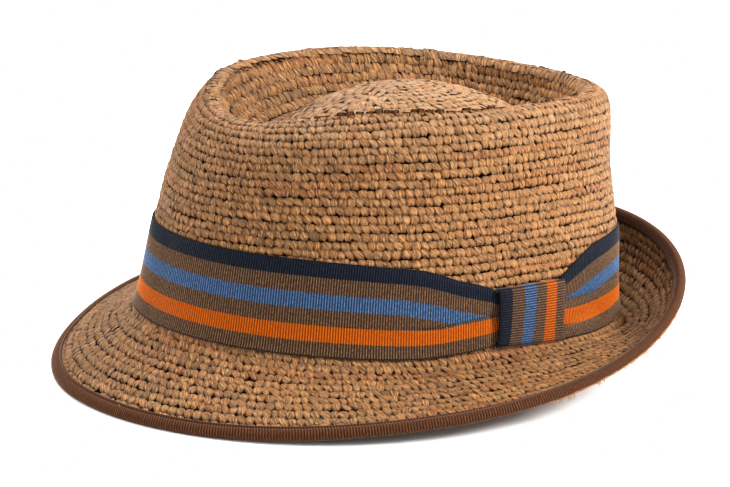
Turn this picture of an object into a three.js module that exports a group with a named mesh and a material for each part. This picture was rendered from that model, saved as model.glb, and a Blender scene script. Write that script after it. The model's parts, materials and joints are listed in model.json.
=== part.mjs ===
import * as THREE from 'three';

// A crocheted raffia hat with a sunk crown top, a ribbon band with a flat knot on the wearer's
// left, and a brim that dips in front, curls up at the back and is bound in ribbon.
// Millimetres, +Z up, the front towards -Y and the wearer's left towards +X. The hat lies on the
// plane Z = 0, on the front of its bound edge and on the bottom of the brim's curl at the back,
// with the origin under the middle of its outline.

// Driving dimensions
const RAFFIA = 2.0; // thickness of the crocheted wall
const RIBBON = 0.7; // thickness of the ribbon
const GAP = 0.3; // between pieces that lie against each other
const BAND_WIDTH = 37; // the band's height up the crown wall
const BAND_PINCHED = 22; // the same where the knot gathers it
const BINDING_WIDTH = 3.2; // the edge ribbon on each face of the brim
const BINDING_FOLDS = [30, 60, 90, 115, 145]; // its columns' angles round the brim's edge
const KNOT_ANGLE = 95; // from the front towards the wearer's left, in degrees as all angles here
const KNOT_SPAN = 18.5; // the knot's width round the crown
const KNOT_HEIGHT = 25; // its height up the crown
const KNOT_RISE = 12.8; // its middle above the band's lower edge
const KNOT_DROP = 2; // how much lower its rear edge sits than its front edge
const KNOT_BULGE = 1.4; // how far its middle swells out
const KNOT_COLUMNS = 8; // steps across it
const GATHER = 21; // the stretch on each side of the knot in which the band narrows
const GATHER_POWER = 1.4; // how late it narrows
const TUCK_HEIGHT = 0.8; // how proud the folded lower layer of the gathered band stands
const TUCK_PLACES = { far: 0.64, near: 0.44 }; // where the fold lies, as a share of the band's height
const TUCK_SLOPE = 0.03; // the share of the band's height in which the fold rises
const COLUMNS = 48; // round the hat
const FINE = 3; // columns in place of one near the knot
const MIDDLE_Y = -8.0797; // the middle of the hat's length, where the origin lies

// The top of the dome, and how far out and down to the foot its two in-between rings lie
const TIP = { y: 13.9, z: 108.1 };
const DOME_SHARES = [0.35, 0.7];

// Rings of the raffia's upper, outer face, from the foot of the dome out over the crest and down
// to the brim's edge. front and back are the Y of a ring's two ends, half is half its width, egg
// is the share by which its front is narrower, z_front, z_side and z_back are its heights, corner
// is the height it gains at 45 degrees either side of the front, it climbs to z_back from the
// angle rise_from on, by the power rise, and skew is how far it is drawn back at 45 degrees to the
// wearer's right of the front.
const RING_COLUMNS = ['name', 'front', 'back', 'half', 'egg', 'z_front', 'z_side', 'z_back',
  'corner', 'rise_from', 'rise', 'skew'];
const RING_ROWS = [
  ['foot', -61.0, 74.0, 53.5, 0.18, 80.0, 90.5, 87.0, 0, 90, 2, 0],
  ['inner', -64.2, 84.3, 65.2, 0.04, 96.3, 103.9, 97.9, 0, 90, 2, 0],
  ['crest', -70.0, 88.5, 71.3, 0.04, 103.0, 110.8, 104.8, 3.6, 90, 2, 0],
  ['shoulder', -78.2, 96.4, 79.5, 0.03, 101.0, 108.8, 102.8, 0, 90, 2, 0],
  ['middle', -91.8, 100.0, 82.0, 0.05, 78.7, 78.8, 71.9, 0, 90, 2, 0],
  ['band_top', -99.2, 103.8, 83.3, 0.08, 60.5, 54.3, 46.7, 0, 90, 2, 0],
  ['base', -108.6, 106.6, 89.2, 0.06, 25.0, 19.4, 4.6, 0, 90, 2, 0],
  ['root', -112.6, 110.6, 93.2, 0.06, 22.0, 16.4, 1.7, 0, 90, 2, 0],
  ['brim', -131.0, 122.8, 110.7, 0.065, 10.8, 12.0, 19.0, 0, 74, 1.3, 2.0],
  ['edge', -143.2, 125.5, 122.6, 0.045, 2.5, 9.2, 38.0, -2.0, 73, 1.62, 4.0],
];
const RINGS = RING_ROWS.map((row) => Object.fromEntries(row.map((value, k) => [RING_COLUMNS[k], value])));

// Places along a profile, counted in rings from the tip
const FOOT = 1 + DOME_SHARES.length;
const placeOf = (name) => FOOT + RINGS.findIndex((ring) => ring.name === name);
const BAND_TOP = placeOf('band_top');
const BASE = placeOf('base');
const ROOT = placeOf('root');
const EDGE = placeOf('edge');

const radians = THREE.MathUtils.degToRad;
const lerp = THREE.MathUtils.lerp;

// A point of one ring. The angle runs from the front towards the wearer's left.
function ringPoint(ring, angle) {
  const c = Math.cos(angle);
  const s = Math.sin(angle);
  const start = -Math.cos(radians(ring.rise_from));
  const climb = Math.max((-c - start) / (1 - start), 0) ** ring.rise;
  const forward = Math.max(c, 0);
  const z = ring.z_side + (ring.z_front - ring.z_side) * forward ** 2
    + (ring.z_back - ring.z_side) * climb + (forward > 0 ? ring.corner * Math.sin(2 * angle) ** 2 : 0);
  const middle = (ring.front + ring.back) / 2;
  const reach = (ring.back - ring.front) / 2;
  const drawn = forward > 0 && s < 0 ? ring.skew * Math.sin(2 * angle) ** 2 : 0;
  return new THREE.Vector3(ring.half * s * (1 - ring.egg * c), middle - reach * c + drawn, z);
}

// A ring of the dome: a share of the way from the tip to the foot, and that share squared down
function domePoint(share, angle) {
  const tip = new THREE.Vector3(0, TIP.y, TIP.z);
  const foot = ringPoint(RINGS[0], angle);
  return tip.clone().lerp(foot, share).setZ(lerp(TIP.z, foot.z, share ** 2));
}

// The smooth line from the tip over the crest to the brim's edge at one angle. It starts on the
// dome's far side, so that it runs level through the tip.
function makeProfile(angle) {
  return new THREE.CatmullRomCurve3([
    domePoint(DOME_SHARES[0], angle + Math.PI),
    domePoint(0, angle),
    ...DOME_SHARES.map((share) => domePoint(share, angle)),
    ...RINGS.map((ring) => ringPoint(ring, angle)),
  ], false, 'centripetal');
}
const profiles = new Map();
function profileAt(angle) {
  const key = angle.toFixed(6);
  if (!profiles.has(key)) profiles.set(key, makeProfile(angle));
  return profiles.get(key);
}
function facePoint(angle, place) {
  return profileAt(angle).getPoint((place + 1) / (EDGE + 1));
}

// A point that stands off the raffia's outer face by a distance along its normal
const STEP = 0.02; // between two places or angles that are taken for neighbours
function standOff(angle, place, distance) {
  const point = facePoint(angle, place);
  if (place === 0) return point.setZ(point.z + distance);
  const along = facePoint(angle, Math.min(place + STEP, EDGE)).sub(facePoint(angle, place - STEP));
  const round = facePoint(angle + STEP, place).sub(facePoint(angle - STEP, place));
  return point.addScaledVector(along.cross(round).normalize(), distance);
}

// The place at a distance up the profile from a given place, measured along the face
function placeInward(angle, from, distance) {
  let place = from;
  let left = distance;
  while (left > 0) {
    const next = place - STEP;
    left -= facePoint(angle, place).distanceTo(facePoint(angle, next));
    place = next;
  }
  return place;
}

// A closed body from strips, one for each column: outer is a row of points on its outer side and
// inner the row behind it. A ring of strips closes on itself, an open run gets two end faces.
function bodyFromStrips(strips, closed) {
  const rows = strips[0].outer.length;
  const positions = [];
  const numbers = new Map();
  const numberOf = (point) => {
    const key = point.toArray().map((value) => value.toFixed(4)).join(' ');
    if (!numbers.has(key)) {
      numbers.set(key, positions.length / 3);
      positions.push(...point.toArray());
    }
    return numbers.get(key);
  };
  const index = [];
  const triangle = (a, b, c) => {
    if (a !== b && b !== c && c !== a) index.push(a, b, c);
  };
  const quad = (...corners) => {
    const [a, b, c, d] = corners.map(numberOf);
    triangle(a, b, c);
    triangle(a, c, d);
  };
  const count = closed ? strips.length : strips.length - 1;
  for (let i = 0; i < count; i += 1) {
    const here = strips[i];
    const next = strips[(i + 1) % strips.length];
    for (let j = 0; j < rows - 1; j += 1) {
      quad(here.outer[j], here.outer[j + 1], next.outer[j + 1], next.outer[j]);
      quad(here.inner[j], next.inner[j], next.inner[j + 1], here.inner[j + 1]);
    }
    const last = rows - 1;
    quad(here.inner[0], here.outer[0], next.outer[0], next.inner[0]);
    quad(here.outer[last], here.inner[last], next.inner[last], next.outer[last]);
  }
  if (!closed) {
    const start = strips[0];
    const end = strips[strips.length - 1];
    for (let j = 0; j < rows - 1; j += 1) {
      quad(start.outer[j], start.inner[j], start.inner[j + 1], start.outer[j + 1]);
      quad(end.outer[j], end.outer[j + 1], end.inner[j + 1], end.inner[j]);
    }
  }
  const geometry = new THREE.BufferGeometry();
  geometry.setAttribute('position', new THREE.Float32BufferAttribute(positions, 3));
  geometry.setIndex(index);
  geometry.computeVertexNormals();
  return geometry;
}

function makePiece(name, geometry, color, roughness) {
  const mesh = new THREE.Mesh(geometry, new THREE.MeshStandardMaterial({ color, roughness, metalness: 0 }));
  mesh.name = name;
  return mesh;
}

// The angles of a number of columns, evenly round the hat
function columnAngles(count) {
  return Array.from({ length: count }, (_, i) => 2 * Math.PI * i / count);
}
const columns = columnAngles(COLUMNS);

// Places spread between named ones: each stretch gives its end and its number of steps
function spreadPlaces(start, stretches) {
  const places = [start];
  for (const { end, steps } of stretches) {
    const from = places[places.length - 1];
    for (let k = 1; k <= steps; k += 1) places.push(lerp(from, end, k / steps));
  }
  return places;
}

// The crown: the sunk dome, the dish round it, the crest and the wall down to the brim
function makeCrown() {
  const places = spreadPlaces(0, [
    { end: 1, steps: 1 },
    { end: FOOT, steps: 4 },
    { end: placeOf('shoulder'), steps: 7 },
    { end: BAND_TOP, steps: 5 },
    { end: BASE, steps: 4 },
  ]);
  const strips = columns.map((angle) => ({
    outer: places.map((place) => standOff(angle, place, 0)),
    inner: places.map((place) => standOff(angle, place, -RAFFIA)),
  }));
  return makePiece('crown', bodyFromStrips(strips, true), 0xba946f, 0.75);
}

// No point lies below the plane that the hat rests on
function pressed(point) {
  return point.setZ(Math.max(point.z, 0));
}

// The brim: it meets the crown at the root, under the band's lower edge
function makeBrim() {
  const strips = columns.map((angle) => {
    const start = BASE + GAP / facePoint(angle, BASE).distanceTo(facePoint(angle, ROOT));
    const places = spreadPlaces(start, [
      { end: ROOT, steps: 3 },
      { end: EDGE, steps: 7 },
    ]);
    return {
      outer: places.map((place) => pressed(standOff(angle, place, 0))),
      inner: places.map((place) => pressed(standOff(angle, place, -RAFFIA))),
    };
  });
  return makePiece('brim', bodyFromStrips(strips, true), 0x9a7750, 0.75);
}

// The place at a height up the wall from its foot, the band's lower edge
function placeUp(angle, height) {
  return BASE - height / facePoint(angle, BASE).distanceTo(facePoint(angle, BAND_TOP));
}

// How much the knot gathers the band at an angle: 1 at the knot, 0 from the stretch's end on
function gatherAt(angle) {
  const away = Math.abs(THREE.MathUtils.radToDeg(angle) - KNOT_ANGLE) - KNOT_SPAN / 2;
  return THREE.MathUtils.clamp(1 - away / GATHER, 0, 1) ** GATHER_POWER;
}

// The height of the knot's middle up the wall: it falls towards the back
function knotHeightAt(angle) {
  const turned = (THREE.MathUtils.radToDeg(angle) - KNOT_ANGLE) / KNOT_SPAN;
  return KNOT_RISE - KNOT_DROP * THREE.MathUtils.clamp(turned, -1, 1);
}

// Columns close together where the knot and the gathers are
function fineColumns(from, to) {
  const inside = (angle) => angle > radians(from) && angle < radians(to);
  return columnAngles(COLUMNS * FINE).filter((angle, i) => i % FINE === 0 || inside(angle));
}

// The ribbon band: it narrows to the knot, where its lower part lies folded over its upper part
function makeBand() {
  const reach = KNOT_SPAN / 2 + GATHER;
  const strips = fineColumns(KNOT_ANGLE - reach, KNOT_ANGLE + reach).map((angle) => {
    const gather = gatherAt(angle);
    const middle = knotHeightAt(angle);
    const top = lerp(BAND_WIDTH, middle + BAND_PINCHED / 2, gather);
    const bottom = lerp(0, middle - BAND_PINCHED / 2, gather);
    const fold = lerp(TUCK_PLACES.far, TUCK_PLACES.near, gather);
    const rows = [
      { share: 0, proud: 0 },
      { share: fold / 2, proud: 0 },
      { share: fold, proud: 0 },
      { share: fold + TUCK_SLOPE, proud: 1 },
      { share: (1 + fold) / 2, proud: 1 },
      { share: 1, proud: 0.4 },
    ];
    const placed = rows.map(({ share, proud }) => ({
      place: placeUp(angle, lerp(top, bottom, share)),
      off: GAP + RIBBON + TUCK_HEIGHT * gather * proud,
    }));
    return {
      outer: placed.map(({ place, off }) => standOff(angle, place, off)),
      inner: placed.map(({ place }) => standOff(angle, place, GAP)),
    };
  });
  return makePiece('ribbon_band', bodyFromStrips(strips, true), 0x564233, 0.7);
}

// The knot: a short ribbon wrapped round the gathered band, its ends turned in to the crown
function makeKnot() {
  const under = GAP + RIBBON + TUCK_HEIGHT + GAP;
  const strips = Array.from({ length: KNOT_COLUMNS + 1 }, (_, i) => {
    const share = i / KNOT_COLUMNS;
    const angle = radians(KNOT_ANGLE + KNOT_SPAN * (share - 0.5));
    const swell = KNOT_BULGE * (1 - (2 * share - 1) ** 2);
    const middle = knotHeightAt(angle);
    const at = (height, off) => standOff(angle, placeUp(angle, middle + height), off);
    const half = KNOT_HEIGHT / 2;
    const rows = [
      { up: half, off: GAP, lip: 1, skin: 0 },
      { up: half, off: under, lip: 1, skin: 0 },
      { up: half - RIBBON, off: under + RIBBON, lip: 0, skin: 1 },
      { up: half / 2, off: under + RIBBON + swell * 0.7, lip: 0, skin: 1 },
      { up: 0, off: under + RIBBON + swell, lip: 0, skin: 1 },
      { up: -half / 2, off: under + RIBBON + swell * 0.7, lip: 0, skin: 1 },
      { up: RIBBON - half, off: under + RIBBON, lip: 0, skin: 1 },
      { up: -half, off: under, lip: -1, skin: 0 },
      { up: -half, off: GAP, lip: -1, skin: 0 },
    ];
    return {
      outer: rows.map(({ up, off }) => at(up, off)),
      inner: rows.map(({ up, off, lip, skin }) => at(up - RIBBON * lip, off - RIBBON * skin)),
    };
  });
  return makePiece('ribbon_knot', bodyFromStrips(strips, false), 0x27303c, 0.7);
}

// The binding: a ribbon folded round the brim's edge. Where the hat bears on it, it is flat.
function makeBinding() {
  const foldAngles = BINDING_FOLDS.map(radians);
  const insets = [BINDING_WIDTH, BINDING_WIDTH / 2, 0];
  const half = RAFFIA / 2;
  const strips = columns.map((angle) => {
    const places = insets.map((inset) => placeInward(angle, EDGE, inset));
    const centre = standOff(angle, EDGE, -half);
    const normal = standOff(angle, EDGE, 0).sub(centre).normalize();
    const outward = facePoint(angle, EDGE).sub(facePoint(angle, EDGE - STEP)).normalize();
    const layer = (off) => [
      ...places.map((place) => standOff(angle, place, off)),
      ...foldAngles.map((fold) => centre.clone()
        .addScaledVector(normal, (half + off) * Math.cos(fold))
        .addScaledVector(outward, (half + off) * Math.sin(fold))),
      ...places.toReversed().map((place) => standOff(angle, place, -RAFFIA - off)),
    ];
    return { outer: layer(GAP + RIBBON).map(pressed), inner: layer(GAP) };
  });
  return makePiece('brim_binding', bodyFromStrips(strips, true), 0x553521, 0.8);
}

const group = new THREE.Group();
group.name = 'raffia_hat';
group.position.y = -MIDDLE_Y;
group.add(makeCrown(), makeBrim(), makeBand(), makeKnot(), makeBinding());
export default group;
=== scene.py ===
import json
import math

import bpy
import numpy as np
from bpy.props import FloatProperty, FloatVectorProperty, IntProperty, PointerProperty
from mathutils import Matrix, Vector

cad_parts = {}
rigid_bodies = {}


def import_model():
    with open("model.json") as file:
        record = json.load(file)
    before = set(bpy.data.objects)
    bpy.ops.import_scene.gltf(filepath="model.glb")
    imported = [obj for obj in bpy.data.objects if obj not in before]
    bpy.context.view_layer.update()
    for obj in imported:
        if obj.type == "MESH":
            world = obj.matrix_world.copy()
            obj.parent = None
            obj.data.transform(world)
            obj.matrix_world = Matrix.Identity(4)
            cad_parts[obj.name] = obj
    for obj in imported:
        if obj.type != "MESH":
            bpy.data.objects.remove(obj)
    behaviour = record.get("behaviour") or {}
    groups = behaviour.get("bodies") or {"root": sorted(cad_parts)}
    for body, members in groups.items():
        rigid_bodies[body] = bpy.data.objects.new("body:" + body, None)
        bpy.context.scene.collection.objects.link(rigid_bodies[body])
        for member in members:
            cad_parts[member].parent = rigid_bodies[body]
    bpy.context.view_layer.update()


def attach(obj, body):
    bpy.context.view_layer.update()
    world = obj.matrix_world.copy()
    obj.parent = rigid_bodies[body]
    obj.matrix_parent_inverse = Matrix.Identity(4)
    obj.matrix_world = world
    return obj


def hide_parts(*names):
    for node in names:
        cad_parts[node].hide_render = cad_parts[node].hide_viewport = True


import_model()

bl_info = {
    "name": "Raffia hat",
    "version": (1, 0, 0),
    "blender": (4, 5, 0),
    "location": "View3D > Sidebar > Raffia hat",
    "description": "Makes the crochet, ribbons and stage of a raffia hat around its packed model",
    "category": "Object",
}

# Form of the raffia's outer face, in millimetres. Angles run from the front towards the wearer's
# left.
MM = 0.001
MIDDLE_Y = -8.0797  # the middle of the hat's length, where the origin lies
TIP = (0.0, 13.9, 108.1)  # the top of the dome
DOME_SHARES = (0.35, 0.7)  # its two in-between rings, as shares of the way to its foot

# Rings from the foot of the dome out over the crest and down to the brim's edge. front and back
# are the Y of a ring's two ends, half is half its width, egg is the share by which its front is
# narrower, z_front, z_side and z_back are its heights, corner is the height it gains at 45 degrees
# either side of the front, it climbs to z_back from the angle rise_from on, by the power rise, and
# skew is how far it is drawn back at 45 degrees to the wearer's right of the front.
RING_COLUMNS = ("name", "front", "back", "half", "egg", "z_front", "z_side", "z_back",
                "corner", "rise_from", "rise", "skew")
RING_ROWS = (
    ("foot", -61.0, 74.0, 53.5, 0.18, 80.0, 90.5, 87.0, 0, 90, 2, 0),
    ("inner", -64.2, 84.3, 65.2, 0.04, 96.3, 103.9, 97.9, 0, 90, 2, 0),
    ("crest", -70.0, 88.5, 71.3, 0.04, 103.0, 110.8, 104.8, 3.6, 90, 2, 0),
    ("shoulder", -78.2, 96.4, 79.5, 0.03, 101.0, 108.8, 102.8, 0, 90, 2, 0),
    ("middle", -91.8, 100.0, 82.0, 0.05, 78.7, 78.8, 71.9, 0, 90, 2, 0),
    ("band_top", -99.2, 103.8, 83.3, 0.08, 60.5, 54.3, 46.7, 0, 90, 2, 0),
    ("base", -108.6, 106.6, 89.2, 0.06, 25.0, 19.4, 4.6, 0, 90, 2, 0),
    ("root", -112.6, 110.6, 93.2, 0.06, 22.0, 16.4, 1.7, 0, 90, 2, 0),
    ("brim", -131.0, 122.8, 110.7, 0.065, 10.8, 12.0, 19.0, 0, 74, 1.3, 2.0),
    ("edge", -143.2, 125.5, 122.6, 0.045, 2.5, 9.2, 38.0, -2.0, 73, 1.62, 4.0),
)
RINGS = [dict(zip(RING_COLUMNS, row)) for row in RING_ROWS]

# Places along a profile, counted in rings from the tip
FOOT = 1 + len(DOME_SHARES)
PLACES = {ring["name"]: FOOT + i for i, ring in enumerate(RINGS)}
CREST = PLACES["crest"]
BAND_TOP = PLACES["band_top"]
BASE = PLACES["base"]
ROOT = PLACES["root"]
EDGE = PLACES["edge"]

STEP = 0.02  # the difference of place, and of angle in radians, that a slope is taken over
TINY = 1e-12
TURN = 2 * math.pi
GRID_ANGLES = np.linspace(0, TURN, 361)
RING_STEPS = 40  # grid places from ring to ring
GRID_PLACES = np.linspace(0, EDGE, EDGE * RING_STEPS + 1)

RAFFIA = 2.0 * MM  # thickness of the crocheted wall
LOWEST = 0.2 * MM  # the raffia stays this far over the floor


def ring_points(ring, angles):
    """Points of one ring at the given angles."""
    c, s = np.cos(angles), np.sin(angles)
    start = -math.cos(math.radians(ring["rise_from"]))
    climb = np.clip((-c - start) / (1 - start), 0, None) ** ring["rise"]
    forward = np.clip(c, 0, None)
    z = (ring["z_side"] + (ring["z_front"] - ring["z_side"]) * forward ** 2
         + (ring["z_back"] - ring["z_side"]) * climb
         + np.where(c > 0, ring["corner"] * np.sin(2 * angles) ** 2, 0))
    middle = (ring["front"] + ring["back"]) / 2
    reach = (ring["back"] - ring["front"]) / 2
    drawn = np.where((c > 0) & (s < 0), ring["skew"] * np.sin(2 * angles) ** 2, 0)
    return np.stack([ring["half"] * s * (1 - ring["egg"] * c), middle - reach * c + drawn, z], -1)


def dome_points(share, angles):
    """A ring of the dome: a share of the way from the tip to the foot."""
    foot = ring_points(RINGS[0], angles)
    points = np.array(TIP) + (foot - np.array(TIP)) * share
    points[..., 2] = TIP[2] + (foot[..., 2] - TIP[2]) * share ** 2
    return points


def profile_points(angles):
    """The points that each angle's profile runs through, from beyond the tip to the edge."""
    return np.stack([dome_points(DOME_SHARES[0], angles + math.pi), dome_points(0, angles)]
                    + [dome_points(share, angles) for share in DOME_SHARES]
                    + [ring_points(ring, angles) for ring in RINGS])


def face(angles, places):
    """Points of the raffia's outer face, in metres, on a smooth curve through the rings."""
    angles, places = np.broadcast_arrays(np.asarray(angles, float), np.asarray(places, float))
    shape = angles.shape
    angles, places = angles.ravel(), places.ravel()
    points = profile_points(angles)
    ends = (2 * points[0] - points[1], 2 * points[-1] - points[-2])
    points = np.concatenate([ends[0][None], points, ends[1][None]])
    at = np.clip(places + 1, 0, EDGE + 1)
    k = np.minimum(at.astype(int), EDGE)
    t = (at - k)[:, None]
    n = np.arange(len(angles))
    p0, p1, p2, p3 = (points[k + j, n] for j in range(4))
    d0, d1, d2 = (np.sqrt(np.linalg.norm(b - a, axis=-1, keepdims=True) + TINY)
                  for a, b in ((p0, p1), (p1, p2), (p2, p3)))
    t1 = ((p1 - p0) / d0 - (p2 - p0) / (d0 + d1) + (p2 - p1) / d1) * d1
    t2 = ((p2 - p1) / d1 - (p3 - p1) / (d1 + d2) + (p3 - p2) / d2) * d1
    point = (p1 + t1 * t + (3 * (p2 - p1) - 2 * t1 - t2) * t ** 2
             + (2 * (p1 - p2) + t1 + t2) * t ** 3)
    return ((point - np.array((0, MIDDLE_Y, 0))) * MM).reshape(shape + (3,))


def unit(vectors):
    return vectors / np.maximum(np.linalg.norm(vectors, axis=-1, keepdims=True), TINY)


def directions(angles, places):
    """Outward normals of the face, and the directions round the hat."""
    along = face(angles, np.minimum(places + STEP, EDGE)) - face(angles, places - STEP)
    round_ = face(angles + STEP, places) - face(angles - STEP, places)
    return unit(np.cross(along, round_)), unit(round_)


def near(angles, middle, spread):
    """1 at an angle, and less away from it; the middle and the spread are in degrees."""
    return np.exp(-((np.mod(angles, TURN) - math.radians(middle)) / math.radians(spread)) ** 2)


def stand_off(angles, places, distance):
    """Points that stand off the face along its normal."""
    angles, places = np.broadcast_arrays(np.asarray(angles, float), np.asarray(places, float))
    out, _ = directions(angles, places)
    out = np.where(places[..., None] < 1e-6, np.array((0.0, 0.0, 1.0)), out)
    return face(angles, places) + out * np.asarray(distance)[..., None]


def lengths_along(points):
    """Length from the first point to each point of a line."""
    steps = np.linalg.norm(np.diff(points, axis=0), axis=-1)
    return np.concatenate([[0.0], np.cumsum(steps)])


def lengths_along_rows(points):
    """The same for each row of a grid of points."""
    steps = np.linalg.norm(np.diff(points, axis=1), axis=-1)
    return np.concatenate([np.zeros((len(points), 1)), np.cumsum(steps, axis=1)], axis=1)


def off_floor(points):
    """Points with none lower than the raffia may lie."""
    points[..., 2] = points[..., 2].clip(LOWEST, None)
    return points


# Meshes

def add_mesh(name, points, faces, material=None, smooth=True):
    mesh = bpy.data.meshes.new(name)
    mesh.from_pydata([tuple(p) for p in points], [], [tuple(f) for f in faces])
    mesh.update()
    if smooth:
        mesh.polygons.foreach_set("use_smooth", [True] * len(mesh.polygons))
    piece = bpy.data.objects.new(name, mesh)
    bpy.context.scene.collection.objects.link(piece)
    if material:
        mesh.materials.append(material)
    return piece


def grid_faces(columns, rows, close_columns, close_rows):
    """Quads of a grid whose point (column, row) has the number column * rows + row."""
    i = np.arange(columns if close_columns else columns - 1)
    j = np.arange(rows if close_rows else rows - 1)
    i, j = (a.ravel() for a in np.meshgrid(i, j, indexing="ij"))
    i2, j2 = (i + 1) % columns, (j + 1) % rows
    return np.stack([i * rows + j, i * rows + j2, i2 * rows + j2, i2 * rows + j], -1)


def set_uv(mesh, name, faces_uv):
    """Writes a UV map from one (u, v) for each corner, in the order of the faces."""
    layer = mesh.uv_layers.new(name=name)
    layer.data.foreach_set("uv", np.asarray(faces_uv, np.float32).ravel())


def set_point_value(mesh, name, values, kind="FLOAT"):
    attribute = mesh.attributes.new(name, kind, "POINT")
    field = "vector" if kind == "FLOAT_VECTOR" else "value"
    dtype = np.int32 if kind == "INT" else np.float32
    attribute.data.foreach_set(field, np.asarray(values, dtype).ravel())


def set_inputs(modifier, tree, values):
    """Sets a node modifier's inputs by the sockets' identifiers."""
    sockets = {item.name: item.identifier for item in tree.interface.items_tree
               if item.item_type == "SOCKET" and item.in_out == "INPUT"}
    for name, value in values.items():
        modifier[sockets[name]] = value


def grow(piece, tree, values):
    """Applies a geometry node tree to a piece and leaves a plain mesh."""
    modifier = piece.modifiers.new("grow", "NODES")
    modifier.node_group = tree
    set_inputs(modifier, tree, values)
    bpy.context.view_layer.update()
    graph = bpy.context.evaluated_depsgraph_get()
    mesh = bpy.data.meshes.new_from_object(
        piece.evaluated_get(graph), preserve_all_data_layers=True, depsgraph=graph)
    piece.modifiers.remove(modifier)
    old = piece.data
    piece.data = mesh
    bpy.data.meshes.remove(old)
    mesh.name = piece.name
    return piece


def finish_piece(piece, nodes=()):
    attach(piece, "root")
    if nodes:
        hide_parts(*nodes)


# Node helpers

def feed(tree, socket, value):
    """Sets a socket to a number, a name or a colour, or links another socket to it."""
    if isinstance(value, (int, float, str)):
        socket.default_value = value
    elif isinstance(value, (tuple, list)):
        socket.default_value = (*value, 1.0)
    else:
        tree.links.new(value, socket)


def feed_all(tree, node, inputs):
    """Feeds a node's inputs, named or numbered."""
    for key, value in inputs.items():
        feed(tree, node.inputs[key], value)


def add_node(tree, kind, inputs=None, **values):
    """A node with these properties and inputs."""
    node = tree.nodes.new(kind)
    for key, value in values.items():
        setattr(node, key, value)
    feed_all(tree, node, inputs or {})
    return node


def math_node(tree, operation, a, b=None):
    """A math node whose inputs are numbers or sockets; returns its output."""
    inputs = {0: a} if b is None else {0: a, 1: b}
    return add_node(tree, "ShaderNodeMath", inputs, operation=operation).outputs[0]


def times(tree, a, b):
    return math_node(tree, "MULTIPLY", a, b)


def from_middle(tree, share):
    """0 where a share is a half, rising to 1 where it is 0 or 1."""
    return math_node(tree, "ABSOLUTE", math_node(
        tree, "SUBTRACT", times(tree, share, 2.0), 1.0))


def shaded(colour, share):
    return tuple(share * c for c in colour)


def mix_colour(tree, share, a, b):
    return add_node(tree, "ShaderNodeMix", {0: share, 6: a, 7: b}, data_type="RGBA",
                    clamp_factor=True).outputs[2]


def map_range(tree, value, low, high, to_low=0.0, to_high=1.0):
    inputs = dict(enumerate((value, low, high, to_low, to_high)))
    return add_node(tree, "ShaderNodeMapRange", inputs, clamp=True).outputs[0]


def noise(tree, vector, scale, detail, roughness):
    inputs = {"Vector": vector, "Scale": scale, "Detail": detail, "Roughness": roughness}
    return add_node(tree, "ShaderNodeTexNoise", inputs).outputs["Fac"]


def combine(tree, x, y, z=0.0):
    return add_node(tree, "ShaderNodeCombineXYZ", {0: x, 1: y, 2: z}).outputs[0]


def uv_parts(tree, name):
    uv = add_node(tree, "ShaderNodeUVMap", uv_map=name).outputs[0]
    parts = add_node(tree, "ShaderNodeSeparateXYZ", {0: uv})
    return parts.outputs[0], parts.outputs[1]


def point_value(tree, name):
    return add_node(tree, "ShaderNodeAttribute", attribute_name=name).outputs["Fac"]


def new_material(name):
    material = bpy.data.materials.new(name)
    material.use_nodes = True
    return material, material.node_tree, material.node_tree.nodes["Principled BSDF"]


def bump(tree, height, strength, distance):
    inputs = {"Strength": strength, "Distance": distance, "Height": height}
    return add_node(tree, "ShaderNodeBump", inputs).outputs[0]


def new_tree(name, inputs):
    """A geometry node tree with these inputs, besides its geometry; returns its input node too."""
    tree = bpy.data.node_groups.new(name, "GeometryNodeTree")
    io = tree.interface
    io.new_socket("Geometry", in_out="INPUT", socket_type="NodeSocketGeometry")
    for label, kind in inputs.items():
        io.new_socket(label, in_out="INPUT", socket_type=kind)
    io.new_socket("Geometry", in_out="OUTPUT", socket_type="NodeSocketGeometry")
    return tree, add_node(tree, "NodeGroupInput")


def named_value(tree, name, kind="FLOAT"):
    return add_node(tree, "GeometryNodeInputNamedAttribute", {"Name": name},
                    data_type=kind).outputs["Attribute"]


def end_tree(tree, entry, geometry):
    """Makes the geometry real, gives it the material of the input and hands it out."""
    real = add_node(tree, "GeometryNodeRealizeInstances", {"Geometry": geometry})
    paint = add_node(tree, "GeometryNodeSetMaterial", {
        "Geometry": real.outputs[0], "Material": entry.outputs["Material"]})
    add_node(tree, "NodeGroupOutput", {0: paint.outputs[0]})


# Raffia

STITCH_VALUES = ("tone", "warmth", "shift", "bleach")

# Depths of the stitches' rims and tops, from the smooth face of the wall
STITCH_EDGE = -0.95 * MM
STITCH_TOP = 0.32 * MM
BACK_EDGE = -1.1 * MM
BACK_TOP = -2.2 * MM
FRONT_GRID = (9, 5)  # points across and up a stitch on the outside
BACK_GRID = (5, 4)  # and on the inside


def fibre_noise(tree, u, v, shift):
    """Noise drawn out along the fibres, which fan out and lean differently in each stitch."""
    fan = math_node(tree, "DIVIDE", math_node(tree, "SUBTRACT", u, 0.5), math_node(
        tree, "ADD", times(tree, v, 0.5), 0.75))
    slope = math_node(tree, "SUBTRACT", times(tree, shift, 1.2), 0.15)
    across = math_node(tree, "ADD", fan, times(tree, v, slope))
    place = combine(tree, times(tree, across, 8.5), times(tree, v, 1.3), times(tree, shift, 90.0))
    return noise(tree, place, 1.0, 4.0, 0.7)


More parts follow.
